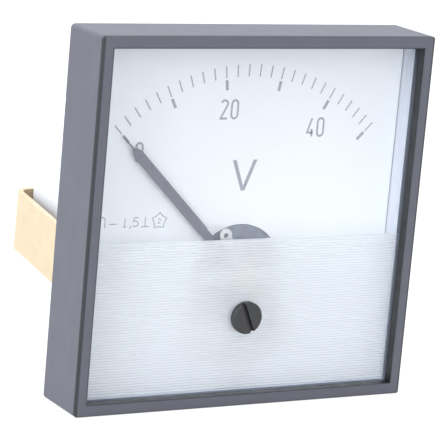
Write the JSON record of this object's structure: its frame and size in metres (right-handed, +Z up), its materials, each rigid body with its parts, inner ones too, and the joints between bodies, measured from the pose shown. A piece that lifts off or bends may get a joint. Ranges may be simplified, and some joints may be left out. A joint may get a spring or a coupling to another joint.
{
  "type": "analog panel meter",
  "caption": "Square panel meter with a white dial scaled 0 to 50 V, moving-coil movement, zero adjuster, round rear barrel, terminal studs and a brass U-strap.",
  "frame": {"origin": "centre of the panel cut-out, in the plane where the back of the bezel seats on the panel's face", "axes": "+Y back along the barrel, away from the viewer of the dial; +Z up the dial; +X to the right of the dial as it is read"},
  "size_m": [0.072, 0.0494, 0.072],
  "materials": {
    "bezel_plastic": "fine matt texture, anthracite",
    "clear_window": "clear moulded plastic, ribbed behind its lower half",
    "case_white": "white moulded plastic",
    "dial_white": "white lacquered sheet with printed scale",
    "lacquered_screw": "white lacquered steel",
    "adjuster_plastic": "black plastic",
    "pointer_lacquer": "dark grey lacquered aluminium",
    "nickel": "nickel plated steel",
    "jewel_brass": "turned brass",
    "spring_bronze": "spring bronze strip",
    "coil_aluminium": "thin aluminium sheet",
    "copper_wire": "enamelled copper winding",
    "magnet": "cast magnet, ground",
    "ring_iron": "soft iron, blackened",
    "die_cast": "die-cast aluminium",
    "resistor_body": "lacquered resistor",
    "red_lead": "red insulated wire",
    "tinned": "tinned brass",
    "stud_brass": "turned brass",
    "strap_brass": "rolled brass strip"
  },
  "bodies": {
    "case": {"bezel": "bezel_plastic", "window": "clear_window", "case_base": "case_white", "dial_plate": "dial_white", "dial_screws": "lacquered_screw", "front_bridge": "coil_aluminium", "bridge_screws": "nickel", "front_jewel_screw": "jewel_brass", "hairspring_rear": "spring_bronze", "core_magnet": "magnet", "yoke_ring": "ring_iron", "pointer_stops": "nickel", "movement_frame": "die_cast", "frame_screws": "nickel", "rear_bridge": "jewel_brass", "rear_bridge_screws": "nickel", "rear_jewel_screw": "jewel_brass", "jewel_lock_nut": "jewel_brass", "rear_abutment": "jewel_brass", "series_resistor": "resistor_body", "hookup_wires": "red_lead", "solder_tags": "tinned", "terminal_studs": "stud_brass", "terminal_nuts": "stud_brass", "terminal_washers": "nickel", "strap_stud": "stud_brass", "strap_nut": "stud_brass", "strap_washer": "nickel", "mounting_strap": "strap_brass"},
    "moving_coil": {"pointer": "pointer_lacquer", "balance_weights": "jewel_brass", "pivots": "nickel", "spring_collets": "jewel_brass", "coil_former": "coil_aluminium", "coil_winding": "copper_wire"},
    "zero_lever": {"zero_lever": "coil_aluminium", "hairspring_front": "spring_bronze"},
    "zero_adjuster": {"zero_screw": "adjuster_plastic"}
  },
  "joints": [
    {"name": "needle_swing", "type": "hinge", "parent": "case", "child": "moving_coil", "pos_m": [0, 0, -0.0113], "axis": [0, 1, 0], "range_deg": [-4, 94], "stiffness_Nm_per_rad": 0.000004, "deforming": ["hairspring_front", "hairspring_rear"]},
    {"name": "zero_adjuster_turn", "type": "hinge", "parent": "case", "child": "zero_adjuster", "pos_m": [0, 0, -0.0188], "axis": [0, 1, 0], "range_deg": [-30, 30]},
    {"name": "zero_lever_swing", "type": "hinge", "parent": "case", "child": "zero_lever", "pos_m": [0, 0, -0.0113], "axis": [0, 1, 0], "range_deg": [-4.5, 4.5]}
  ],
  "couplings": [
    {"joint": "zero_lever_swing", "follows": "zero_adjuster_turn", "ratio": -0.145}
  ]
}
